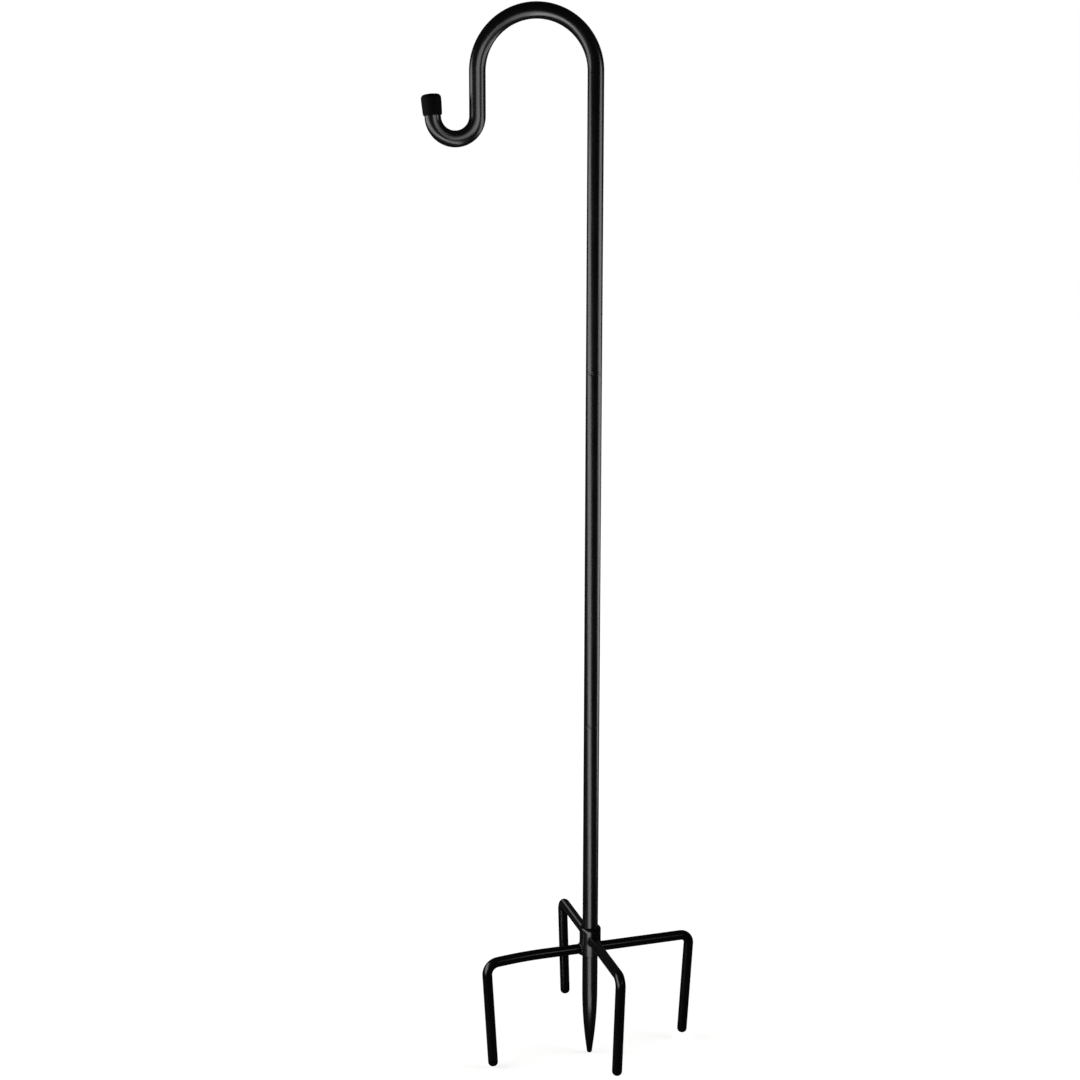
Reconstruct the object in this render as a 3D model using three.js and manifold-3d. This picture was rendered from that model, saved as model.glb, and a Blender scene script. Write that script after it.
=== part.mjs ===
// A garden shepherd's hook: three sections of steel tube on short connectors, the top one bent into
// a crook that ends in a small hook, and the lowest one drawn to a point between four bent prongs.
//
// Millimetres, +Z up. The origin lies on the pole's axis at the underside of the collar, where the
// soil's surface is when the stake is pushed home. The crook reaches out towards -X.

import * as THREE from 'three';
import { mergeVertices } from 'three/addons/utils/BufferGeometryUtils.js';
import Module from 'manifold-3d';

// Tube of the three sections
const tubeDiameter = 17.1;
const tubeWall = 1.2;

// Lower section, from its point up
const lowerPoleLength = 381;
const spikeDepth = 118; // from the collar's underside down to the tip
const pointLength = 76;
const pointNoseRadius = 2.8;
const pointNoseHeight = 1.9;
const boreConeLength = 24; // the drawn end closes the bore in a cone

// Middle section
const middlePoleLength = 381;

// Top section
const hookShaftLength = 307.55; // straight part below the crook
const crookRadius = 60.7; // of the centreline, like every bend radius here
const riserLength = 44.6; // straight part between the crook and the small hook
const hookBendRadius = 23;
const hookBendSweep = 175; // degrees, so the tip leans out
const hookTipLength = 22.8;

// Connectors between the sections
const connectorPinLength = 40; // reach into each tube
const connectorWall = 1.2;
const connectorRingHeight = 1.5;
const connectorChamfer = 0.8;

// Rubber cap on the hook's tip
const capLength = 22;
const capMouthWall = 1.05;
const capCrownWall = 1.65;
const capTopThickness = 1.5;
const capEdgeRadius = 2.8;
const capCrownDrop = 9; // from the top down to the widest place

// Collar that carries the prongs
const collarWall = 3;
const collarHeadHeight = 13.5; // above the upper prongs' axis
const collarShoulder = 3.2; // height of the rounded upper edge
const collarLip = 0.6; // flat ring left inside the shoulder
const collarFootChamfer = 0.7;

// Prongs
const rodDiameter = 11.2;
const prongStackGap = 0.3; // between the lower pair's top and the upper pair's underside
const sideLean = 3.5; // degrees, the legs draw in towards the spike
const frontLean = 5.6;
const backLean = 6.8;
const prongBendRadius = 10;
const prongTipRound = 4.2;
const weldLeg = 1.6;
const weldToeShare = 0.97; // of the rod's radius, so the bead's toe ends inside its facets
const leftReach = 120.8; // from the pole's axis to the leg
const rightReach = 120;
const frontReach = 115;
const backReach = 114.6;
const sideAzimuth = 19.4; // degrees from +X, the right prong
const crossAzimuth = 105.4; // degrees from +X, the back prong
const leftDrop = 123.9; // from the arm's axis at the collar down to the tip
const rightDrop = 118.2;
const frontDrop = 114.3;
const backDrop = 110.4;
const leftBendRadius = 13; // this one is bent more gently
const leftSag = 5.5; // degrees that its arm droops before the bend
const leftStraightShare = 0.45; // of its reach, before it starts to droop

// Fits and facets
const seatGap = 0.3; // between pieces that touch
const slipGap = 0.3; // radial, between a connector and its tube
const cutOverrun = 5;
const mergeDistance = 0.0001;
const tubeSides = 24;
const rodSides = 16;
const collarSides = 36;
const crookSteps = 20;
const hookBendSteps = 12;
const prongBendSteps = 8;
const sagSteps = 3;
const pointSteps = 8;
const edgeSteps = 3; // on every small rounded edge
const tipRoundSweep = 75; // degrees of the prong tips' rounding

// Sizes and levels worked out from those above
const tubeRadius = tubeDiameter / 2;
const boreRadius = tubeRadius - tubeWall;
const rodRadius = rodDiameter / 2;
const collarRadius = tubeRadius + seatGap + collarWall;
const lowerProngLevel = rodRadius + weldLeg + seatGap;
const upperProngLevel = lowerProngLevel + rodDiameter + prongStackGap;
const collarTop = upperProngLevel + collarHeadHeight;
const jointHeight = seatGap + connectorRingHeight + seatGap;
const lowerPoleTop = lowerPoleLength - spikeDepth;
const middlePoleFoot = lowerPoleTop + jointHeight;
const middlePoleTop = middlePoleFoot + middlePoleLength;
const hookFoot = middlePoleTop + jointHeight;

const blackCoat = new THREE.MeshStandardMaterial({ color: 0x141414, roughness: 0.32, metalness: 0.1 });
const blackRubber = new THREE.MeshStandardMaterial({ color: 0x101010, roughness: 0.85, metalness: 0 });

const wasm = await Module();
wasm.setup();

// A centreline in the XZ plane, walked as a pen does. It leaves a ring only where the rod bends or
// ends, so straight stretches cost nothing. Heading 0 runs along +X and a positive turn goes up.
class BendPath extends THREE.Curve {
  constructor(x, z, heading) {
    super();
    this.x = x;
    this.z = z;
    this.heading = THREE.MathUtils.degToRad(heading);
    this.rings = [];
    this.leaveRing();
  }

  leaveRing() {
    this.rings.push({
      point: new THREE.Vector3(this.x, 0, this.z),
      tangent: new THREE.Vector3(Math.cos(this.heading), 0, Math.sin(this.heading)),
    });
  }

  straight(length) {
    this.x += length * Math.cos(this.heading);
    this.z += length * Math.sin(this.heading);
    this.leaveRing();
    return this;
  }

  turn(radius, degrees, steps) {
    const side = Math.sign(degrees);
    const centreX = this.x - side * radius * Math.sin(this.heading);
    const centreZ = this.z + side * radius * Math.cos(this.heading);
    for (let step = 0; step < steps; step += 1) {
      this.heading += THREE.MathUtils.degToRad(degrees) / steps;
      this.x = centreX + side * radius * Math.sin(this.heading);
      this.z = centreZ - side * radius * Math.cos(this.heading);
      this.leaveRing();
    }
    return this;
  }

  // The rings are spaced evenly in the curve's own parameter, however long the stretches are.
  getUtoTmapping(u) {
    return u;
  }

  between(t) {
    const along = t * (this.rings.length - 1);
    const first = Math.min(Math.floor(along), this.rings.length - 2);
    return { from: this.rings[first], to: this.rings[first + 1], share: along - first };
  }

  getPoint(t, target = new THREE.Vector3()) {
    const { from, to, share } = this.between(t);
    return target.lerpVectors(from.point, to.point, share);
  }

  getTangent(t, target = new THREE.Vector3()) {
    const { from, to, share } = this.between(t);
    return target.lerpVectors(from.tangent, to.tangent, share).normalize();
  }
}

// The corners of a regular outline round the origin.
function roundOutline(radius, sides) {
  const corners = [];
  for (let side = 0; side < sides; side += 1) {
    const angle = (side / sides) * 2 * Math.PI;
    corners.push(new THREE.Vector2(radius * Math.cos(angle), radius * Math.sin(angle)));
  }
  return corners;
}

// Points of a rounded edge, from the side up to the top, round a centre at [radius, height].
function roundedEdge(radius, height, width, rise) {
  const points = [];
  for (let step = 0; step <= edgeSteps; step += 1) {
    const angle = (step / edgeSteps) * (Math.PI / 2);
    points.push([radius + width * Math.cos(angle), height + rise * Math.sin(angle)]);
  }
  return points;
}

function sweep(path, section) {
  return new THREE.ExtrudeGeometry(section, {
    extrudePath: path,
    steps: path.rings.length - 1,
    bevelEnabled: false,
  });
}

// Spins a profile of [radius, height] points about Z. The outside runs upwards.
function spin(profile, sides) {
  const points = profile.map(([radius, height]) => new THREE.Vector2(radius, height));
  return new THREE.LatheGeometry(points, sides).rotateX(Math.PI / 2);
}

// Closes a profile that stays off the axis, for a tube or a ring.
function spinRing(profile, sides) {
  return spin([...profile, profile[0]], sides);
}

function toSolid(geometry) {
  const bare = geometry.clone();
  bare.deleteAttribute('normal');
  bare.deleteAttribute('uv');
  const merged = mergeVertices(bare, mergeDistance);
  const corners = merged.index.array;
  const triangles = [];
  for (let at = 0; at < corners.length; at += 3) {
    const triangle = Array.from(corners.slice(at, at + 3));
    if (new Set(triangle).size === 3) {
      triangles.push(...triangle);
    }
  }
  return new wasm.Manifold(new wasm.Mesh({
    numProp: 3,
    vertProperties: merged.attributes.position.array,
    triVerts: new Uint32Array(triangles),
  }));
}

function toGeometry(solid) {
  const { vertProperties, triVerts } = solid.getMesh();
  const geometry = new THREE.BufferGeometry();
  geometry.setAttribute('position', new THREE.BufferAttribute(vertProperties, 3));
  geometry.setIndex(new THREE.BufferAttribute(triVerts, 1));
  geometry.computeVertexNormals();
  return geometry;
}

// Top section: up the shaft, over the crook, down the riser and round the small hook.
function hookPath() {
  return new BendPath(0, hookFoot, 90)
    .straight(hookShaftLength)
    .turn(crookRadius, 180, crookSteps)
    .straight(riserLength)
    .turn(hookBendRadius, -hookBendSweep, hookBendSteps)
    .straight(hookTipLength);
}

function hookTube() {
  const section = new THREE.Shape(roundOutline(tubeRadius, tubeSides));
  section.holes.push(new THREE.Path(roundOutline(boreRadius, tubeSides)));
  return sweep(hookPath(), section);
}

// The cap in its own frame: the tube's end lies at the origin and the cap closes over it, upwards.
function endCap() {
  const pocketRadius = tubeRadius + seatGap;
  const top = seatGap + capTopThickness;
  const mouth = top - capLength;
  const crownRadius = pocketRadius + capCrownWall;
  return spin([
    [0, seatGap],
    [pocketRadius, seatGap],
    [pocketRadius, mouth],
    [pocketRadius + capMouthWall, mouth],
    [crownRadius, top - capCrownDrop],
    ...roundedEdge(crownRadius - capEdgeRadius, top - capEdgeRadius, capEdgeRadius, capEdgeRadius),
    [0, top],
  ], tubeSides);
}

// Tube of one straight section.
function straightTube(foot, top) {
  return spinRing([[tubeRadius, foot], [tubeRadius, top], [boreRadius, top], [boreRadius, foot]], tubeSides);
}

// Connector in its own frame, with the underside of its ring at the origin.
function connector() {
  const pinRadius = boreRadius - slipGap;
  const hollowRadius = pinRadius - connectorWall;
  const foot = -seatGap - connectorPinLength;
  const head = connectorRingHeight + seatGap + connectorPinLength;
  const tapered = pinRadius - connectorChamfer / 2;
  return spinRing([
    [tapered, foot],
    [pinRadius, foot + connectorChamfer],
    [pinRadius, 0],
    [tubeRadius, 0],
    [tubeRadius, connectorRingHeight],
    [pinRadius, connectorRingHeight],
    [pinRadius, head - connectorChamfer],
    [tapered, head],
    [hollowRadius, head],
    [hollowRadius, foot],
  ], tubeSides);
}

// Lower section: a blunt ogive point, the tube above it, and the bore that the point closes.
function lowerPole() {
  const shoulder = pointLength + pointNoseHeight - spikeDepth;
  const noseSide = pointNoseHeight * (1 - Math.SQRT1_2) - spikeDepth;
  const profile = [[0, -spikeDepth], [pointNoseRadius * Math.SQRT1_2, noseSide]];
  for (let step = 0; step <= pointSteps; step += 1) {
    const below = 1 - step / pointSteps;
    profile.push([
      tubeRadius - (tubeRadius - pointNoseRadius) * below * below,
      shoulder - pointLength * below,
    ]);
  }
  profile.push([tubeRadius, lowerPoleTop], [boreRadius, lowerPoleTop], [boreRadius, shoulder]);
  profile.push([0, shoulder - boreConeLength]);
  return spin(profile, tubeSides);
}

function baseCollar() {
  const inside = tubeRadius + seatGap;
  const lipRadius = inside + collarLip;
  return spinRing([
    [collarRadius - collarFootChamfer, 0],
    [collarRadius, collarFootChamfer],
    ...roundedEdge(lipRadius, collarTop - collarShoulder, collarRadius - lipRadius, collarShoulder),
    [inside, collarTop],
    [inside, 0],
  ], collarSides);
}

// One prong in its own frame: the arm leaves the pole's axis along +X and the leg goes down.
function prongPath({ reach, drop, lean, bendRadius, sag, straightShare }) {
  const turnLeft = 90 + lean - sag;
  const bendSetback = bendRadius * Math.tan(THREE.MathUtils.degToRad(turnLeft / 2));
  const sagAngle = THREE.MathUtils.degToRad(sag);
  const start = collarRadius - collarWall;
  const bendStart = reach - bendSetback * Math.cos(sagAngle);
  const path = new BendPath(start, 0, 0);
  if (sag > 0) {
    const sagStart = reach * straightShare;
    path.straight(sagStart - start);
    path.turn((bendStart - sagStart) / Math.sin(sagAngle), -sag, sagSteps);
  } else {
    path.straight(bendStart - start);
  }
  path.turn(bendRadius, -turnLeft, prongBendSteps);
  const legLength = (drop + path.z) / Math.cos(THREE.MathUtils.degToRad(lean));
  return path.straight(legLength);
}

// Removes the sharp edge from a leg's end: a ring that stands round the tip, seen from the tip up.
function tipRounding(path, lean) {
  const outside = rodRadius + cutOverrun;
  const profile = [[rodRadius - prongTipRound, -cutOverrun], [outside, -cutOverrun]];
  const sweepAngle = THREE.MathUtils.degToRad(tipRoundSweep);
  profile.push([outside, prongTipRound * (1 - Math.cos(sweepAngle))]);
  for (let step = edgeSteps; step >= 0; step -= 1) {
    const angle = (step / edgeSteps) * sweepAngle;
    profile.push([
      rodRadius - prongTipRound + prongTipRound * Math.sin(angle),
      prongTipRound * (1 - Math.cos(angle)),
    ]);
  }
  const ring = spinRing(profile, rodSides).rotateY(THREE.MathUtils.degToRad(lean));
  return toSolid(ring.translate(path.x, 0, path.z));
}

// Weld bead that swells the arm where it meets the collar.
function weldBead() {
  const bead = spin([
    [0, collarRadius - collarWall],
    [rodRadius + weldLeg, collarRadius - collarWall],
    [rodRadius + weldLeg, collarRadius],
    [rodRadius * weldToeShare, collarRadius + weldLeg],
    [0, collarRadius + weldLeg],
  ], collarSides);
  return toSolid(bead.rotateY(Math.PI / 2));
}

function collarCutter() {
  const clear = (collarRadius + seatGap) / Math.cos(Math.PI / collarSides);
  const reach = rodDiameter + weldLeg;
  return toSolid(spin([[0, -reach], [clear, -reach], [clear, reach], [0, reach]], collarSides));
}

function prong(sizes) {
  const path = prongPath(sizes);
  const rod = toSolid(sweep(path, new THREE.Shape(roundOutline(rodRadius, rodSides))));
  const welded = rod.add(weldBead());
  return toGeometry(welded.subtract(collarCutter()).subtract(tipRounding(path, sizes.lean)));
}

const model = new THREE.Group();

function addPart(name, geometry, material) {
  const mesh = new THREE.Mesh(geometry, material);
  mesh.name = name;
  model.add(mesh);
  return mesh;
}

addPart('hook_tube', hookTube(), blackCoat);

const tip = hookPath();
const cap = addPart('hook_end_cap', endCap(), blackRubber);
cap.position.set(tip.x, 0, tip.z);
cap.rotation.y = Math.PI / 2 - tip.heading;

addPart('upper_connector', connector(), blackCoat).position.z = middlePoleTop + seatGap;
addPart('middle_pole', straightTube(middlePoleFoot, middlePoleTop), blackCoat);
addPart('lower_connector', connector(), blackCoat).position.z = lowerPoleTop + seatGap;
addPart('lower_pole', lowerPole(), blackCoat);
addPart('base_collar', baseCollar(), blackCoat);

const plainBend = { bendRadius: prongBendRadius, sag: 0, straightShare: 0 };
const left = {
  reach: leftReach,
  drop: leftDrop,
  lean: sideLean,
  bendRadius: leftBendRadius,
  sag: leftSag,
  straightShare: leftStraightShare,
};
const right = { reach: rightReach, drop: rightDrop, lean: sideLean, ...plainBend };
const front = { reach: frontReach, drop: frontDrop, lean: frontLean, ...plainBend };
const back = { reach: backReach, drop: backDrop, lean: backLean, ...plainBend };
const prongs = [
  ['prong_left', left, sideAzimuth + 180, lowerProngLevel],
  ['prong_right', right, sideAzimuth, lowerProngLevel],
  ['prong_front', front, crossAzimuth + 180, upperProngLevel],
  ['prong_back', back, crossAzimuth, upperProngLevel],
];
for (const [name, sizes, azimuth, level] of prongs) {
  const mesh = addPart(name, prong(sizes), blackCoat);
  mesh.position.z = level;
  mesh.rotation.z = THREE.MathUtils.degToRad(azimuth);
}

export default model;
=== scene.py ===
# A garden shepherd's hook in black powder-coated steel: three lengths of tube on short connectors, a
# crook with a rubber-capped small hook at the top, and a pointed foot between four welded prongs.

import math

import bmesh
import bpy
from mathutils import Matrix, Vector


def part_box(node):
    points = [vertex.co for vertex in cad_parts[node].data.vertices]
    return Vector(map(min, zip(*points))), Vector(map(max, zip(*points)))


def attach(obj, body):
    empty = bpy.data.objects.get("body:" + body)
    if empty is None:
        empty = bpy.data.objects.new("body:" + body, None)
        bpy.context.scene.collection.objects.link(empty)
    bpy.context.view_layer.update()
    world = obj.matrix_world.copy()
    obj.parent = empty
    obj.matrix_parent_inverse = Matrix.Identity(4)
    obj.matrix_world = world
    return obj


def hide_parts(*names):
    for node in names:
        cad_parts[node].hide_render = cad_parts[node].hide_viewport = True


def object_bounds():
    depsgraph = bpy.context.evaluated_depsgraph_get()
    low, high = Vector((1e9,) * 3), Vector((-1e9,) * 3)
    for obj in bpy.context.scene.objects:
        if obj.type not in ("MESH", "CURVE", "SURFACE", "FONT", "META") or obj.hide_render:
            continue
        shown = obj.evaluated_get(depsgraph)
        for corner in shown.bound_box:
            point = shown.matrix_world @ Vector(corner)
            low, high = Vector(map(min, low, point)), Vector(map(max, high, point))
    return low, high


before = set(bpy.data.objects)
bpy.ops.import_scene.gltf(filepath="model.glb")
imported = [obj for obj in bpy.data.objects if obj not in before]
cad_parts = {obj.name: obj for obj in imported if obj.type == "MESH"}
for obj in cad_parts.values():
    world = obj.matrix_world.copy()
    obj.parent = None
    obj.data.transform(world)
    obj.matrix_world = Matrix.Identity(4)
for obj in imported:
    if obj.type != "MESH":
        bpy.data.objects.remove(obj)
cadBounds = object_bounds()
print("frame loaded with", len(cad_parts), "nodes")

mm = 0.001

# Sizes that the frame gives
poleLow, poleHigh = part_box("middle_pole")
tubeRadius = poleHigh.x
collarLow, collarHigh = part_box("base_collar")
collarRadius = collarHigh.x
hookLow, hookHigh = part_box("hook_tube")
spikeLow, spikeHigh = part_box("lower_pole")

tubeShape = {
    "wall": 1.2 * mm,
    "sides": 72,
    "rimRound": 0.35 * mm,  # the cut ends are deburred and then coated
    "steadyLength": 1.5 * mm,  # a loop this far from each rim keeps the long faces' shading straight
}


# Materials

def linearColour(hexCode):
    # the sRGB curve, undone
    channels = [int(hexCode[at:at + 2], 16) / 255 for at in (1, 3, 5)]
    return [c / 12.92 if c <= 0.04045 else ((c + 0.055) / 1.055) ** 2.4 for c in channels] + [1.0]


def addNode(tree, kind, sockets=None, links=None, **settings):
    node = tree.nodes.new(kind)
    for key, value in settings.items():
        setattr(node, key, value)
    for socket, value in (sockets or {}).items():
        node.inputs[socket].default_value = value
    for socket, source in (links or {}).items():
        tree.links.new(source, node.inputs[socket])
    return node


def startMaterial(name):
    material = bpy.data.materials.new(name)
    material.use_nodes = True
    tree = material.node_tree
    tree.nodes.clear()
    place = addNode(tree, "ShaderNodeTexCoord").outputs["Object"]
    return material, tree, place


# Semi-gloss polyester powder, sprayed and baked on steel: deep black, a clear but slightly blurred
# reflection, and the shallow ripple of melted powder that painters call orange peel.
powderCoat = {
    "black": "#030304",
    "dusty": "#080809",
    "roughness": (0.2, 0.27),
    "ior": 1.5,
    "peelWidth": 2.4 * mm,  # crest to crest, the wavelength of real orange peel
    "peelHeight": 0.007 * mm,
    "grainWidth": 0.45 * mm,  # flow marks of single grains, drawn coarse enough to show
    "grainHeight": 0.0025 * mm,
    "patchWidth": 45 * mm,
    "patchSpan": (0.3, 0.7),  # the noise seldom leaves this span, so it takes the whole change of gloss
}


def makePowderCoat(name, finish):
    material, tree, place = startMaterial(name)
    patches = addNode(
        tree, "ShaderNodeTexNoise",
        {"Scale": 1 / finish["patchWidth"], "Detail": 3.0, "Roughness": 0.55},
        {"Vector": place})
    colour = addNode(
        tree, "ShaderNodeMix",
        {"A": linearColour(finish["black"]), "B": linearColour(finish["dusty"])},
        {"Factor": patches.outputs["Fac"]}, data_type="RGBA")
    gloss = addNode(
        tree, "ShaderNodeMapRange",
        {"From Min": finish["patchSpan"][0], "From Max": finish["patchSpan"][1],
         "To Min": finish["roughness"][0], "To Max": finish["roughness"][1]},
        {"Value": patches.outputs["Fac"]})
    peel = addNode(
        tree, "ShaderNodeTexNoise",
        {"Scale": 1 / finish["peelWidth"], "Detail": 1.0, "Roughness": 0.4},
        {"Vector": place})
    grain = addNode(
        tree, "ShaderNodeTexNoise",
        {"Scale": 1 / finish["grainWidth"], "Detail": 2.0, "Roughness": 0.5},
        {"Vector": place})
    fine = addNode(
        tree, "ShaderNodeBump",
        {"Strength": 1.0, "Distance": finish["grainHeight"]},
        {"Height": grain.outputs["Fac"]})
    ripple = addNode(
        tree, "ShaderNodeBump",
        {"Strength": 1.0, "Distance": finish["peelHeight"]},
        {"Height": peel.outputs["Fac"], "Normal": fine.outputs["Normal"]})
    coat = addNode(
        tree, "ShaderNodeBsdfPrincipled",
        {"IOR": finish["ior"], "Metallic": 0.0},
        {"Base Color": colour.outputs["Result"], "Roughness": gloss.outputs["Result"],
         "Normal": ripple.outputs["Normal"]})
    addNode(tree, "ShaderNodeOutputMaterial", links={"Surface": coat.outputs["BSDF"]})
    return material


# The same powder over a weld bead: it pools in the ripples, so the gloss wanders more.
weldCoat = {
    **powderCoat,
    "roughness": (0.22, 0.38),
    "peelWidth": 1.3 * mm,
    "peelHeight": 0.05 * mm,
    "patchWidth": 6 * mm,
}

# The same powder on the connectors' pins, rubbed along the axis each time the sections slide together.
pinCoat = {
    "black": "#0d0d0e",
    "rubbed": "#3c3b39",
    "roughness": (0.28, 0.46),
    "ior": powderCoat["ior"],
    "scratchWidth": 0.5 * mm,
    "scratchLength": 30 * mm,
    "scratchDepth": 0.012 * mm,
    "scratchSpan": (0.62, 0.78),  # only the peaks of the noise are rubbed marks
}


def makePinCoat(name, finish):
    material, tree, place = startMaterial(name)
    stretch = finish["scratchWidth"] / finish["scratchLength"]
    drawn = addNode(tree, "ShaderNodeMapping", {"Scale": (1.0, 1.0, stretch)}, {"Vector": place})
    lines = addNode(
        tree, "ShaderNodeTexNoise",
        {"Scale": 1 / finish["scratchWidth"], "Detail": 3.0, "Roughness": 0.6},
        {"Vector": drawn.outputs["Vector"]})
    marks = addNode(
        tree, "ShaderNodeMapRange",
        {"From Min": finish["scratchSpan"][0], "From Max": finish["scratchSpan"][1]},
        {"Value": lines.outputs["Fac"]})
    colour = addNode(
        tree, "ShaderNodeMix",
        {"A": linearColour(finish["black"]), "B": linearColour(finish["rubbed"])},
        {"Factor": marks.outputs["Result"]}, data_type="RGBA")
    gloss = addNode(
        tree, "ShaderNodeMapRange",
        {"To Min": finish["roughness"][0], "To Max": finish["roughness"][1]},
        {"Value": marks.outputs["Result"]})
    relief = addNode(
        tree, "ShaderNodeBump",
        {"Strength": 1.0, "Distance": finish["scratchDepth"]},
        {"Height": lines.outputs["Fac"]})
    coat = addNode(
        tree, "ShaderNodeBsdfPrincipled",
        {"IOR": finish["ior"], "Metallic": 0.0},
        {"Base Color": colour.outputs["Result"], "Roughness": gloss.outputs["Result"],
         "Normal": relief.outputs["Normal"]})
    addNode(tree, "ShaderNodeOutputMaterial", links={"Surface": coat.outputs["BSDF"]})
    return material


# Moulded EPDM rubber from a spark-eroded mould: matte, finely pitted, with a faint grey bloom.
mouldedRubber = {
    "black": "#040404",
    "bloom": "#0c0c0b",
    "roughness": (0.72, 0.86),
    "ior": 1.5,
    "specular": 0.12,  # the pits swallow most of the reflection
    "pitWidth": 0.35 * mm,
    "pitDepth": 0.03 * mm,
    "pitStrength": 0.8,
    "bloomWidth": 7 * mm,
    "bloomSpan": (0.4, 0.8),  # below this span of the noise the rubber is clean
}


def makeMouldedRubber(name, finish):
    material, tree, place = startMaterial(name)
    bloom = addNode(
        tree, "ShaderNodeTexNoise",
        {"Scale": 1 / finish["bloomWidth"], "Detail": 4.0, "Roughness": 0.6},
        {"Vector": place})
    spread = addNode(
        tree, "ShaderNodeMapRange",
        {"From Min": finish["bloomSpan"][0], "From Max": finish["bloomSpan"][1]},
        {"Value": bloom.outputs["Fac"]})
    colour = addNode(
        tree, "ShaderNodeMix",
        {"A": linearColour(finish["black"]), "B": linearColour(finish["bloom"])},
        {"Factor": spread.outputs["Result"]}, data_type="RGBA")
    gloss = addNode(
        tree, "ShaderNodeMapRange",
        {"To Min": finish["roughness"][0], "To Max": finish["roughness"][1]},
        {"Value": bloom.outputs["Fac"]})
    pits = addNode(tree, "ShaderNodeTexVoronoi", {"Scale": 1 / finish["pitWidth"]}, {"Vector": place})
    relief = addNode(
        tree, "ShaderNodeBump",
        {"Strength": finish["pitStrength"], "Distance": finish["pitDepth"]},
        {"Height": pits.outputs["Distance"]})
    rubber = addNode(
        tree, "ShaderNodeBsdfPrincipled",
        {"IOR": finish["ior"], "Metallic": 0.0, "Specular IOR Level": finish["specular"]},
        {"Base Color": colour.outputs["Result"], "Roughness": gloss.outputs["Result"],
         "Normal": relief.outputs["Normal"]})
    addNode(tree, "ShaderNodeOutputMaterial", links={"Surface": rubber.outputs["BSDF"]})
    return material


blackPowder = makePowderCoat("blackPowderCoat", powderCoat)
weldPowder = makePowderCoat("weldPowderCoat", weldCoat)
pinPowder = makePinCoat("rubbedPowderCoat", pinCoat)
capRubber = makeMouldedRubber("mouldedRubber", mouldedRubber)
print("materials made")


# Tools for the shapes

meshDetail = {
    "rimSegments": 3,
    "cornerSegments": 4,
    "mergeWithin": 0.001 * mm,
    "sharpFrom": math.radians(40),  # an edge that turns by more than this keeps a crisp line
}


def ringOf(verts):
    chosen = set(verts)
    nearEdges = dict.fromkeys(edge for vert in verts for edge in vert.link_edges)  # once each, in order
    edges = [edge for edge in nearEdges if set(edge.verts) <= chosen]
    return list(verts), edges


def vertsIn(geometry):
    return [item for item in geometry if isinstance(item, bmesh.types.BMVert)]


class TubePen:  # draws a tube or a rod by walking a ring of edges along a centreline in the XZ plane
    def __init__(self, bm, place, heading, radius, sides):
        self.bm = bm
        self.place = Vector(place)
        self.heading = heading  # 0 runs along +X, a quarter turn runs up
        facing = Matrix.Translation(self.place) @ Matrix.Rotation(math.pi / 2 - heading, 4, "Y")
        made = bmesh.ops.create_circle(bm, cap_ends=False, segments=sides, radius=radius, matrix=facing)
        self.verts, self.edges = ringOf(made["verts"])
        self.firstEdges = self.edges

    def straight(self, length):
        travel = Vector((math.cos(self.heading), 0, math.sin(self.heading))) * length
        grown = bmesh.ops.extrude_edge_only(self.bm, edges=self.edges)
        newVerts = vertsIn(grown["geom"])
        bmesh.ops.translate(self.bm, verts=newVerts, vec=travel)
        self.verts, self.edges = ringOf(newVerts)
        self.place = self.place + travel

    def bend(self, radius, angle, steps):
        side = math.copysign(radius, angle)
        centre = self.place + Vector((-math.sin(self.heading), 0, math.cos(self.heading))) * side
        spun = bmesh.ops.spin(
            self.bm, geom=self.verts + self.edges, cent=centre, axis=(0, -1, 0), angle=angle,
            steps=steps)
        self.verts, self.edges = ringOf(vertsIn(spun["geom_last"]))
        self.place = centre + Matrix.Rotation(-angle, 3, "Y") @ (self.place - centre)
        self.heading += angle


def softenEdges(bm, edges, width, segments):
    bmesh.ops.bevel(
        bm, geom=edges, offset=width, offset_type="OFFSET", affect="EDGES", segments=segments,
        profile=0.5, material=-1, clamp_overlap=True)


def lathe(bm, profile, sides, closed):
    # each point of the profile is (radius, height, rounding of that corner)
    verts = [bm.verts.new((radius, 0, height)) for radius, height, rounding in profile]
    nextVerts = verts[1:] + verts[:1] if closed else verts[1:]
    for vert, nextVert in zip(verts, nextVerts):
        bm.edges.new((vert, nextVert))
    for vert, (radius, height, rounding) in zip(verts, profile):
        if rounding > 0:
            bmesh.ops.bevel(
                bm, geom=[vert], offset=rounding, offset_type="OFFSET", affect="VERTICES",
                segments=meshDetail["cornerSegments"], profile=0.5, material=-1, clamp_overlap=True)
    bmesh.ops.spin(
        bm, geom=bm.verts[:] + bm.edges[:], cent=(0, 0, 0), axis=(0, 0, 1), angle=2 * math.pi,
        steps=sides, use_merge=True)


def makePiece(name, bm, finishes, body, node):
    bmesh.ops.remove_doubles(bm, verts=bm.verts[:], dist=meshDetail["mergeWithin"])
    bmesh.ops.recalc_face_normals(bm, faces=bm.faces[:])
    mesh = bpy.data.meshes.new(name)
    bm.to_mesh(mesh)
    bm.free()
    mesh.shade_smooth()
    mesh.set_sharp_from_angle(angle=meshDetail["sharpFrom"])
    for finish in finishes:
        mesh.materials.append(finish)
    piece = bpy.data.objects.new(name, mesh)
    bpy.context.scene.collection.objects.link(piece)
    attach(piece, body)
    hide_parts(node)
    print(name, "has", len(mesh.polygons), "faces")


# Top section: shaft, crook, riser and the small upturned hook

hookShape = {
    "crookRadius": 60.7 * mm,  # to the tube's centreline, as is the small hook's
    "crookSteps": 96,
    "riserLength": 44.6 * mm,
    "smallRadius": 23 * mm,
    "smallSweep": math.radians(175),
    "smallSteps": 56,
    "tipLength": 22.8 * mm,
}


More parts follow.
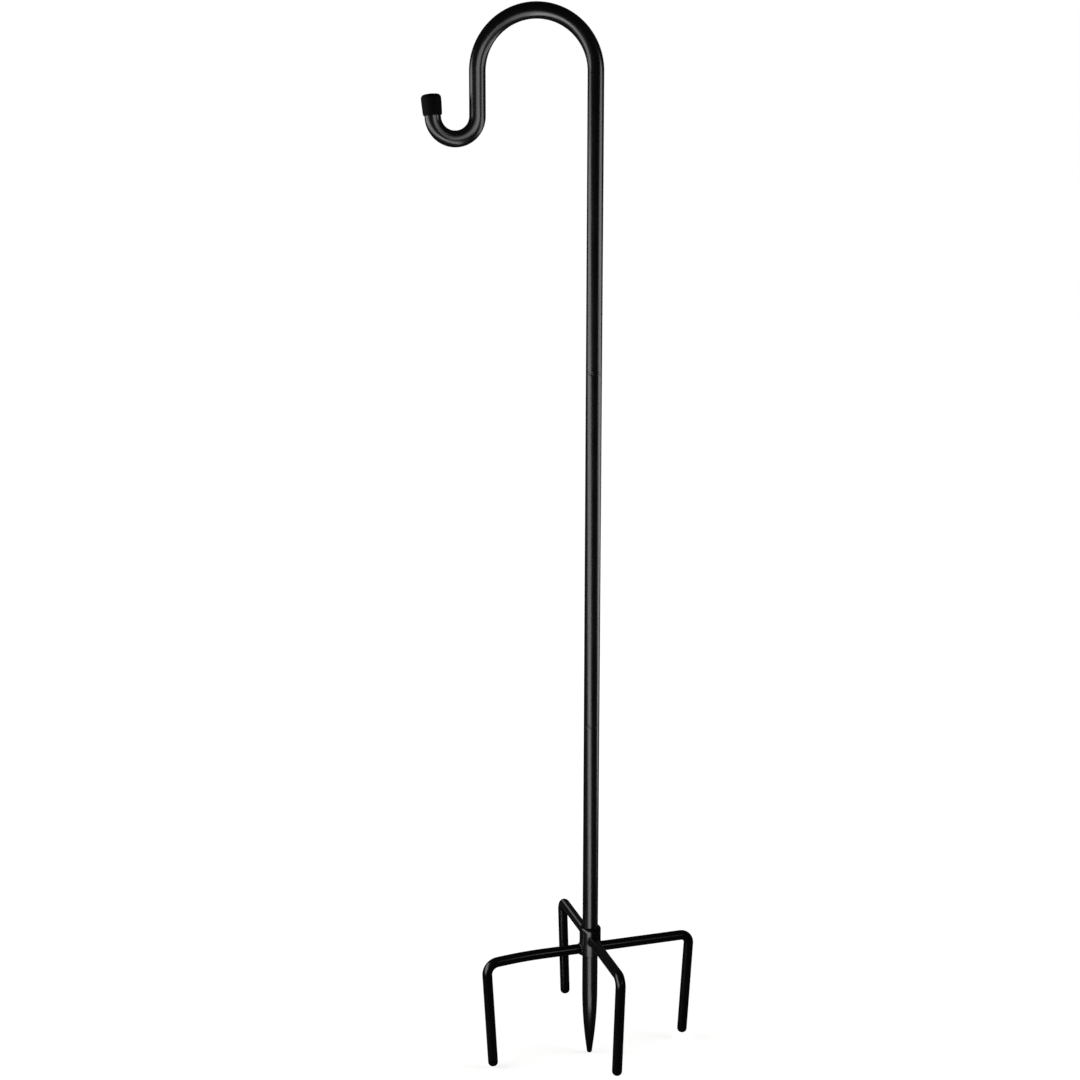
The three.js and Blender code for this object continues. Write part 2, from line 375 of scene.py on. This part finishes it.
def drawHook(bm, radius):
    crookRadius = hookShape["crookRadius"]
    shaftLength = hookHigh.z - tubeRadius - crookRadius - hookLow.z
    pen = TubePen(bm, (0, 0, hookLow.z), math.pi / 2, radius, tubeShape["sides"])
    pen.straight(tubeShape["steadyLength"])
    pen.straight(shaftLength - tubeShape["steadyLength"])
    pen.bend(crookRadius, math.pi, hookShape["crookSteps"])
    pen.straight(hookShape["riserLength"])
    pen.bend(hookShape["smallRadius"], -hookShape["smallSweep"], hookShape["smallSteps"])
    pen.straight(hookShape["tipLength"])
    return pen


def closeTube(bm, outer, inner):
    bmesh.ops.bridge_loops(bm, edges=outer.firstEdges + inner.firstEdges)
    bmesh.ops.bridge_loops(bm, edges=outer.edges + inner.edges)
    rims = outer.firstEdges + inner.firstEdges + outer.edges + inner.edges
    softenEdges(bm, rims, tubeShape["rimRound"], meshDetail["rimSegments"])


bm = bmesh.new()
outerPen = drawHook(bm, tubeRadius)
innerPen = drawHook(bm, tubeRadius - tubeShape["wall"])
closeTube(bm, outerPen, innerPen)
makePiece("hookTube", bm, [blackPowder], "hook_section", "hook_tube")


# Rubber cap over the tube's end

capShape = {
    "length": 22 * mm,
    "topThickness": 1.8 * mm,
    "mouthWall": 1.3 * mm,
    "crownWall": 1.95 * mm,
    "crownDrop": 9 * mm,  # from the top down to the widest place
    "crownRound": 3 * mm,
    "edgeRound": 3.3 * mm,
    "dome": 1.3 * mm,  # how far the top swells
    "domeShares": (0.6, 0.3),  # of the widest radius, where the swell is drawn
    "grip": 0.05 * mm,  # the pocket is moulded tighter than the tube
    "tipGap": 0.1 * mm,  # from the tube's end to the floor of the pocket
    "pocketRound": 0.2 * mm,
    "mouthRound": 0.3 * mm,
    "lipRound": 1 * mm,
    "lipHeight": 1.6 * mm,  # from the mouth to where its rolled lip ends,
    "lipTopRound": 0.3 * mm,
    "stepHeight": 2.1 * mm,  # and to where the body starts, a small step wider
    "stepWidth": 0.15 * mm,
    "stepRound": 0.2 * mm,
    "sides": 72,
}


def buildCap(bm, tip, heading):
    top = capShape["topThickness"]
    mouth = top - capShape["length"]
    pocket = tubeRadius - capShape["grip"]
    crown = tubeRadius + capShape["crownWall"]
    lip = tubeRadius + capShape["mouthWall"]
    dome = capShape["dome"]
    profile = [
        (0, capShape["tipGap"], 0),
        (pocket, capShape["tipGap"], capShape["pocketRound"]),
        (pocket, mouth, capShape["mouthRound"]),
        (lip, mouth, capShape["lipRound"]),
        (lip, mouth + capShape["lipHeight"], capShape["lipTopRound"]),
        (lip + capShape["stepWidth"], mouth + capShape["stepHeight"], capShape["stepRound"]),
        (crown, top - capShape["crownDrop"], capShape["crownRound"]),
        (crown, top - dome, capShape["edgeRound"]),
    ]
    for share in capShape["domeShares"]:
        profile.append((crown * share, top - dome * share ** 2, 0))
    profile.append((0, top, 0))
    lathe(bm, profile, capShape["sides"], closed=False)
    facing = Matrix.Translation(tip) @ Matrix.Rotation(math.pi / 2 - heading, 4, "Y")
    bmesh.ops.transform(bm, matrix=facing, verts=bm.verts[:])


bm = bmesh.new()
buildCap(bm, outerPen.place, outerPen.heading)
makePiece("hookEndCap", bm, [capRubber], "hook_section", "hook_end_cap")


# Straight tube of the middle section

def straightTube(bm, foot, top):
    inner = tubeRadius - tubeShape["wall"]
    rim = tubeShape["rimRound"]
    steady = tubeShape["steadyLength"]
    lathe(bm, [
        (tubeRadius, foot, rim),
        (tubeRadius, foot + steady, 0),
        (tubeRadius, top - steady, 0),
        (tubeRadius, top, rim),
        (inner, top, rim),
        (inner, top - steady, 0),
        (inner, foot + steady, 0),
        (inner, foot, rim),
    ], tubeShape["sides"], closed=True)


bm = bmesh.new()
straightTube(bm, poleLow.z, poleHigh.z)
makePiece("middlePole", bm, [blackPowder], "middle_section", "middle_pole")


# Connectors: a short tube with a shoulder ring that lies flush between two sections

connectorShape = {
    "slip": 0.3 * mm,  # radial play in the tubes
    "wall": 1.2 * mm,
    "leadIn": 1.2 * mm,  # chamfer at each end
    "leadInRound": 0.4 * mm,
    "endRound": 0.1 * mm,
    "boreRound": 0.2 * mm,
    "ringRound": 0.2 * mm,
    "joint": 0.06 * mm,  # what shows of the joint on each side of the ring
}


def buildConnector(bm, below, above, foot, head):
    pin = tubeRadius - tubeShape["wall"] - connectorShape["slip"]
    bore = pin - connectorShape["wall"]
    leadIn = connectorShape["leadIn"]
    ringFoot = below + connectorShape["joint"]
    ringHead = above - connectorShape["joint"]
    lathe(bm, [
        (pin - leadIn / 2, foot, connectorShape["endRound"]),
        (pin, foot + leadIn, connectorShape["leadInRound"]),
        (pin, ringFoot, 0),
        (tubeRadius, ringFoot, connectorShape["ringRound"]),
        (tubeRadius, ringHead, connectorShape["ringRound"]),
        (pin, ringHead, 0),
        (pin, head - leadIn, connectorShape["leadInRound"]),
        (pin - leadIn / 2, head, connectorShape["endRound"]),
        (bore, head, connectorShape["boreRound"]),
        (bore, foot, connectorShape["boreRound"]),
    ], tubeShape["sides"], closed=True)
    for face in bm.faces:
        level = face.calc_center_median().z
        face.material_index = 0 if ringFoot < level < ringHead else 1


def makeConnector(name, node, body, below, above):
    low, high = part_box(node)
    bm = bmesh.new()
    buildConnector(bm, below, above, low.z, high.z)
    makePiece(name, bm, [blackPowder, pinPowder], body, node)


makeConnector("upperConnector", "upper_connector", "upper_joint", poleHigh.z, hookLow.z)
makeConnector("lowerConnector", "lower_connector", "lower_joint", spikeHigh.z, poleLow.z)


# Lower section: its end is swaged to a blunt point, the centre spike

spikeShape = {
    "pointLength": 76 * mm,
    "noseRadius": 2.8 * mm,
    "noseHeight": 1.9 * mm,
    "noseRoundShare": 0.8,  # of the nose's radius
    "boreCone": 24 * mm,
    "steps": 28,
}


def buildLowerPole(bm):
    tip = spikeLow.z
    nose = spikeShape["noseRadius"]
    noseTop = tip + spikeShape["noseHeight"]
    shoulder = noseTop + spikeShape["pointLength"]
    inner = tubeRadius - tubeShape["wall"]
    rim = tubeShape["rimRound"]
    steadyTop = spikeHigh.z - tubeShape["steadyLength"]
    profile = [(0, tip, 0), (nose, tip, nose * spikeShape["noseRoundShare"])]
    for step in range(1, spikeShape["steps"] + 1):
        below = 1 - step / spikeShape["steps"]  # 1 at the nose, 0 at the shoulder
        radius = tubeRadius - (tubeRadius - nose) * below * below
        profile.append((radius, noseTop + spikeShape["pointLength"] * (1 - below), 0))
    profile += [
        (tubeRadius, steadyTop, 0),
        (tubeRadius, spikeHigh.z, rim),
        (inner, spikeHigh.z, rim),
        (inner, steadyTop, 0),
        (inner, shoulder, 0),
        (0, shoulder - spikeShape["boreCone"], 0),
    ]
    lathe(bm, profile, tubeShape["sides"], closed=False)


bm = bmesh.new()
buildLowerPole(bm)
makePiece("lowerPole", bm, [blackPowder], "ground_section", "lower_pole")


# Collar that carries the prongs

collarShape = {
    "shoulder": 3.2 * mm,
    "footRound": 0.8 * mm,
    "steadyHeight": 2 * mm,
    "seatSink": 0.02 * mm,  # welded all round, so no gap shows
    "sides": 96,
}


def buildCollar(bm):
    shoulder = collarShape["shoulder"]
    seat = tubeRadius - collarShape["seatSink"]
    lathe(bm, [
        (seat, collarLow.z, 0),
        (collarRadius, collarLow.z, collarShape["footRound"]),
        (collarRadius, collarLow.z + collarShape["steadyHeight"], 0),
        (collarRadius, collarHigh.z - 2 * shoulder, 0),
        (collarRadius, collarHigh.z, shoulder),
        (seat, collarHigh.z, 0),
    ], collarShape["sides"], closed=True)


bm = bmesh.new()
buildCollar(bm)
makePiece("baseCollar", bm, [blackPowder], "ground_section", "base_collar")


# Prongs: bent round rod, welded to the collar

prongShape = {
    "rodRadius": 5.48 * mm,
    "axisDrop": 7.2 * mm,  # from the top of the weld bead to the rod's axis
    "root": 1.5 * mm,  # how far the rod goes into the collar's wall
    "sides": 48,
    "sagSteps": 16,
    "bendSteps": 40,
    "tipRound": 4.9 * mm,
    "tipSegments": 8,
    "beadRadius": 1.4 * mm,
    "beadSides": 16,
    "beadSteps": 120,
    "beadRipples": 15,
    "rippleShare": 0.1,  # of the bead's radius
}
sideSpread = math.radians(19.4)  # the lower pair's turn about the pole, from the crook's plane
crossSpread = math.radians(105.4)  # the upper pair's
plainBend = {"bendRadius": 10 * mm, "sag": 0, "straightShare": 0}
# one arm was bent by hand more gently: it droops past this share of its reach
gentleBend = {"bendRadius": 13 * mm, "sag": math.radians(5.5), "straightShare": 0.45}
# reach is from the pole's axis to the corner, and lean is how far the leg slants in below it
prongs = {
    "left": {
        "reach": 120.8 * mm,
        "lean": math.radians(3.5),
        "azimuth": sideSpread + math.pi,
        **gentleBend,
    },
    "right": {
        "reach": 120 * mm,
        "lean": math.radians(3.5),
        "azimuth": sideSpread,
        **plainBend,
    },
    "front": {
        "reach": 115 * mm,
        "lean": math.radians(5.6),
        "azimuth": crossSpread + math.pi,
        **plainBend,
    },
    "back": {
        "reach": 114.6 * mm,
        "lean": math.radians(6.8),
        "azimuth": crossSpread,
        **plainBend,
    },
}


def drawProng(bm, prong, drop):
    # drawn along +X with the rod's axis at height 0, then turned and lifted to its place by makeProng
    rodRadius = prongShape["rodRadius"]
    start = collarRadius - prongShape["root"]
    sag = prong["sag"]
    cornerTurn = math.pi / 2 + prong["lean"] - sag
    setback = prong["bendRadius"] * math.tan(cornerTurn / 2)
    bendStart = prong["reach"] - setback * math.cos(sag)
    pen = TubePen(bm, (start, 0, 0), 0, rodRadius, prongShape["sides"])
    bmesh.ops.edgeloop_fill(bm, edges=pen.edges)
    if sag > 0:
        sagStart = prong["reach"] * prong["straightShare"]
        pen.straight(sagStart - start)
        pen.bend((bendStart - sagStart) / math.sin(sag), -sag, prongShape["sagSteps"])
    else:
        pen.straight(bendStart - start)
    pen.bend(prong["bendRadius"], -cornerTurn, prongShape["bendSteps"])
    legLength = (drop + pen.place.z) / math.cos(prong["lean"])
    pen.straight(legLength - 2 * rodRadius)
    pen.straight(2 * rodRadius)  # the stretch that holds the rounded tip
    bmesh.ops.edgeloop_fill(bm, edges=pen.edges)
    softenEdges(bm, pen.edges, prongShape["tipRound"], prongShape["tipSegments"])


def addWeldBead(bm):
    # a rippled ring round the rod, its places then pushed out to follow the collar's side
    rodRadius = prongShape["rodRadius"]
    bead = bmesh.new()
    made = bmesh.ops.create_circle(
        bead, cap_ends=False, segments=prongShape["beadSides"], radius=prongShape["beadRadius"],
        matrix=Matrix.Translation((0, 0, rodRadius)) @ Matrix.Rotation(math.pi / 2, 4, "X"))
    verts, edges = ringOf(made["verts"])
    bmesh.ops.spin(
        bead, geom=verts + edges, cent=(0, 0, 0), axis=(1, 0, 0), angle=2 * math.pi,
        steps=prongShape["beadSteps"], use_merge=True)
    for vert in bead.verts:
        around = math.atan2(vert.co.y, vert.co.z)
        middle = Vector((0, rodRadius * math.sin(around), rodRadius * math.cos(around)))
        swell = 1 + prongShape["rippleShare"] * math.cos(prongShape["beadRipples"] * around)
        vert.co = middle + (vert.co - middle) * swell
        vert.co.x += math.sqrt(collarRadius ** 2 - middle.y ** 2)
    bmesh.ops.recalc_face_normals(bead, faces=bead.faces[:])
    for face in bead.faces:
        face.material_index = 1
    spare = bpy.data.meshes.new("weldBead")
    bead.to_mesh(spare)
    bead.free()
    bm.from_mesh(spare)
    bpy.data.meshes.remove(spare)


def makeProng(side):
    prong = prongs[side]
    node = "prong_" + side
    low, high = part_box(node)
    level = high.z - prongShape["axisDrop"]
    turned = Matrix.Rotation(prong["azimuth"], 3, "Z")
    bm = bmesh.new()
    drawProng(bm, prong, level - low.z)
    addWeldBead(bm)
    bmesh.ops.rotate(bm, verts=bm.verts[:], cent=(0, 0, 0), matrix=turned)
    bmesh.ops.translate(bm, verts=bm.verts[:], vec=(0, 0, level))
    makePiece(side + "Prong", bm, [blackPowder, weldPowder], "ground_section", node)


for side in prongs:
    makeProng(side)
print("pieces made")


# Camera, at the photograph's viewing angle

cameraView = {
    "place": (-0.0398, -1.9162, 0.8166),  # metres
    "down": math.radians(10.29),
    "left": math.radians(0.5),
    "roll": math.radians(0.086),
    "focalPixels": 1819.3,
    "imagePixels": 1080,
    "sensor": 36.0,  # millimetres, as the lens is
    "farthest": 100.0,  # metres
}
camera = bpy.data.cameras.new("camera")
camera.sensor_width = cameraView["sensor"]
camera.lens = cameraView["sensor"] * cameraView["focalPixels"] / cameraView["imagePixels"]
camera.clip_end = cameraView["farthest"]
cameraObject = bpy.data.objects.new("camera", camera)
aim = (
    Matrix.Rotation(cameraView["left"], 4, "Z")
    @ Matrix.Rotation(math.pi / 2 - cameraView["down"], 4, "X")
    @ Matrix.Rotation(cameraView["roll"], 4, "Z"))
cameraObject.matrix_world = Matrix.Translation(cameraView["place"]) @ aim
bpy.context.scene.collection.objects.link(cameraObject)
bpy.context.scene.camera = cameraObject
print("camera set with a", round(camera.lens, 1), "mm lens")


# Studio: a pale floor and a white surround, softboxes on both sides, panels on the floor in front, and
# small lamps for the crook and the foot. Its places and sizes are in metres, its angles in degrees.

studio = {
    "floorColour": "#d8d8d6",
    "floorRoughness": (0.75, 0.85),
    "mottleScale": 3.0,
    "floorSize": 60.0,  # to each side, so that no edge shows
    "floorGap": 0.5 * mm,  # under the lowest tip
    "nearLift": 0.72,  # light that only the camera sees on the floor: beside the object
    "farLift": 1.0,  # and where the lamps no longer reach
    "liftFrom": 0.3,  # from the origin: where the first starts to turn into the second,
    "liftTo": 1.2,  # and where it has
    "fillLevel": 0.03,  # faint light from all around
}
pureWhite = (1.0, 1.0, 1.0, 1.0)
floorLevel = cadBounds[0].z - studio["floorGap"]


def makeFloorPaper(name):
    material, tree, place = startMaterial(name)
    rays = addNode(tree, "ShaderNodeLightPath")
    reach = addNode(tree, "ShaderNodeVectorMath", {}, {0: place}, operation="LENGTH")
    lift = addNode(
        tree, "ShaderNodeMapRange",
        {"From Min": studio["liftFrom"], "From Max": studio["liftTo"],
         "To Min": studio["nearLift"], "To Max": studio["farLift"]},
        {"Value": reach.outputs["Value"]})
    seen = addNode(
        tree, "ShaderNodeMath", {},
        {0: rays.outputs["Is Camera Ray"], 1: lift.outputs["Result"]}, operation="MULTIPLY")
    mottle = addNode(tree, "ShaderNodeTexNoise", {"Scale": studio["mottleScale"]}, {"Vector": place})
    dull = addNode(
        tree, "ShaderNodeMapRange",
        {"To Min": studio["floorRoughness"][0], "To Max": studio["floorRoughness"][1]},
        {"Value": mottle.outputs["Fac"]})
    paper = addNode(
        tree, "ShaderNodeBsdfPrincipled",
        {"Base Color": linearColour(studio["floorColour"]), "Emission Color": pureWhite,
         "Specular IOR Level": 0.0},
        {"Roughness": dull.outputs["Result"], "Emission Strength": seen.outputs["Value"]})
    addNode(tree, "ShaderNodeOutputMaterial", links={"Surface": paper.outputs["BSDF"]})
    return material


bm = bmesh.new()
bmesh.ops.create_grid(bm, x_segments=1, y_segments=1, size=studio["floorSize"])
bmesh.ops.translate(bm, verts=bm.verts[:], vec=(0, 0, floorLevel))
floorMesh = bpy.data.meshes.new("floor")
bm.to_mesh(floorMesh)
bm.free()
floorMesh.materials.append(makeFloorPaper("paleFloor"))
floor = bpy.data.objects.new("floor", floorMesh)
floor.visible_glossy = False  # a black coat over a white floor would go grey
bpy.context.scene.collection.objects.link(floor)


def bearing(azimuth, distance, height):
    # azimuth 0 lies towards the camera's side, negative to its left
    turned = math.radians(azimuth)
    return Vector((math.sin(turned) * distance, -math.cos(turned) * distance, height))


prongPieces = [side + "Prong" for side in prongs]
polePieces = ["hookTube", "upperConnector", "middlePole", "lowerConnector", "lowerPole"]

# A lamp's level is how bright its face is, where 1 is white. A lamp with a grid throws its light within
# that angle, and one with an "only" lights just those pieces.
lampPlan = {
    # tall softboxes, rolled so that their streaks keep to one side all the way down the slanting view
    "leftSoftbox": {
        "place": bearing(-66.5, 1.25, 0.5) + Vector((0.035, 0.08, 0)),
        "facing": -bearing(-66.5, 1, 0),
        "roll": 56,
        "width": 0.66,
        "length": 2.1,
        "level": 3.8,
    },
    "rightSoftbox": {
        "place": bearing(90, 1.25, 0.5),
        "facing": -bearing(90, 1, 0),
        "roll": 45,
        "width": 0.8,
        "length": 1.7,
        "level": 3.4,
        "only": polePieces + ["hookEndCap", "floor"],
    },
    # small gridded lamps close to the crook, whose grids keep them off the shaft
    "archLamp": {
        "place": Vector((-0.062, -0.078, 0.928)),
        "facing": Vector((-0.1, 0.6, 0.8)),
        "width": 0.075,
        "length": 0.12,
        "level": 3.2,
        "grid": 90,
        "only": ["hookTube"],
    },
    "riserLamp": {
        "place": Vector((-0.108, -0.07, 0.953)),
        "facing": Vector((-0.2, 1, 0)),
        "width": 0.06,
        "length": 0.064,
        "level": 3.8,
        "grid": 100,
        "only": ["hookTube"],
    },
    "smallHookLamp": {
        "place": Vector((-0.12, -0.07, 0.894)),
        "facing": Vector((-0.35, 1, 0)),
        "width": 0.078,
        "length": 0.054,
        "level": 4.2,
        "grid": 90,
        "only": ["hookTube"],
    },
    # a line along the back prong, and a faint one along all four
    "prongRim": {
        "place": bearing(-149, 1.37, 0.62),
        "facing": -bearing(-149, 1.37, 0.6),
        "width": 0.4,
        "length": 0.4,
        "level": 1.2,
        "only": ["backProng"],
    },
    "prongKey": {
        "place": bearing(38, 1.46, 0.66),
        "facing": -bearing(38, 1.46, 0.64),
        "width": 0.3,
        "length": 0.3,
        "level": 2.2,
        "only": prongPieces,
    },
}

# Panels that lie on the floor in front, in a fan that widens and turns left with its distance: their
# reflection carries the left streak on down the foot.
floorFan = {
    "from": 0.1,
    "to": 3.1,
    "panels": 12,
    "lift": 0.2 * mm,  # off the floor
    "widthShare": 0.86,  # of the distance
    "nearBearing": 0,
    "farBearing": -46.5,
    "turnPower": 1.3,  # above 1, so the turn starts slowly
    "leastBearing": -24,  # past this the softbox takes over from the left,
    "taperFrom": 1.15,  # and so the fan narrows from this distance on
    "taperPower": 2,
    "level": 3.6,
}


def planFloorPanel(panel):
    growth = (floorFan["to"] / floorFan["from"]) ** (1 / floorFan["panels"])
    near = floorFan["from"] * growth ** panel
    far = near * growth
    middle = (near + far) / 2
    turnShare = ((panel + 0.5) / floorFan["panels"]) ** floorFan["turnPower"]
    azimuth = floorFan["nearBearing"] + (floorFan["farBearing"] - floorFan["nearBearing"]) * turnShare
    azimuth = max(azimuth, floorFan["leastBearing"])
    remaining = (floorFan["to"] - middle) / (floorFan["to"] - floorFan["taperFrom"])
    taper = min(1, remaining) ** floorFan["taperPower"]
    return {
        "place": bearing(azimuth, middle, floorLevel + floorFan["lift"]),
        "facing": Vector((0, 0, 1)),
        "roll": azimuth,
        "width": floorFan["widthShare"] * taper * middle,
        "length": far - near,
        "level": floorFan["level"],
        "only": polePieces + ["baseCollar"],
    }


for panel in range(floorFan["panels"]):
    lampPlan["floorPanel" + str(panel + 1)] = planFloorPanel(panel)


def addLamp(name, plan):
    light = bpy.data.lights.new(name, "AREA")
    light.shape = "RECTANGLE"
    light.size = plan["width"]
    light.size_y = plan["length"]
    gain = 1.0
    if "grid" in plan:
        half = math.radians(plan["grid"]) / 2
        light.spread = 2 * half
        gain = math.tan(half) / (math.tan(half) - half)  # what the grid adds straight ahead
    # the watts that give the lamp's face its level
    light.energy = plan["level"] * math.pi * plan["width"] * plan["length"] / gain
    lamp = bpy.data.objects.new(name, light)
    turned = plan["facing"].to_track_quat("-Z", "Y").to_matrix().to_4x4()
    rolled = Matrix.Rotation(math.radians(plan.get("roll", 0)), 4, "Z")
    lamp.matrix_world = Matrix.Translation(plan["place"]) @ turned @ rolled
    lamp.visible_camera = False
    bpy.context.scene.collection.objects.link(lamp)
    if "only" in plan:
        lit = bpy.data.collections.new(name + "Pieces")
        for piece in plan["only"]:
            lit.objects.link(bpy.data.objects[piece])
        lamp.light_linking.receiver_collection = lit


def makeSurround(name):
    # the camera sees it white, and the object gets its faint fill
    world = bpy.data.worlds.new(name)
    world.use_nodes = True
    tree = world.node_tree
    tree.nodes.clear()
    rays = addNode(tree, "ShaderNodeLightPath")
    fill = addNode(tree, "ShaderNodeBackground", {"Color": pureWhite, "Strength": studio["fillLevel"]})
    white = addNode(tree, "ShaderNodeBackground", {"Color": pureWhite, "Strength": 1.0})
    surround = addNode(
        tree, "ShaderNodeMixShader", {},
        {0: rays.outputs["Is Camera Ray"], 1: fill.outputs["Background"],
         2: white.outputs["Background"]})
    addNode(tree, "ShaderNodeOutputWorld", links={"Surface": surround.outputs["Shader"]})
    return world


for name, plan in lampPlan.items():
    addLamp(name, plan)
bpy.context.scene.world = makeSurround("studioSurround")
bpy.context.scene.view_settings.view_transform = "Standard"
print("studio made with", len(lampPlan), "lamps")
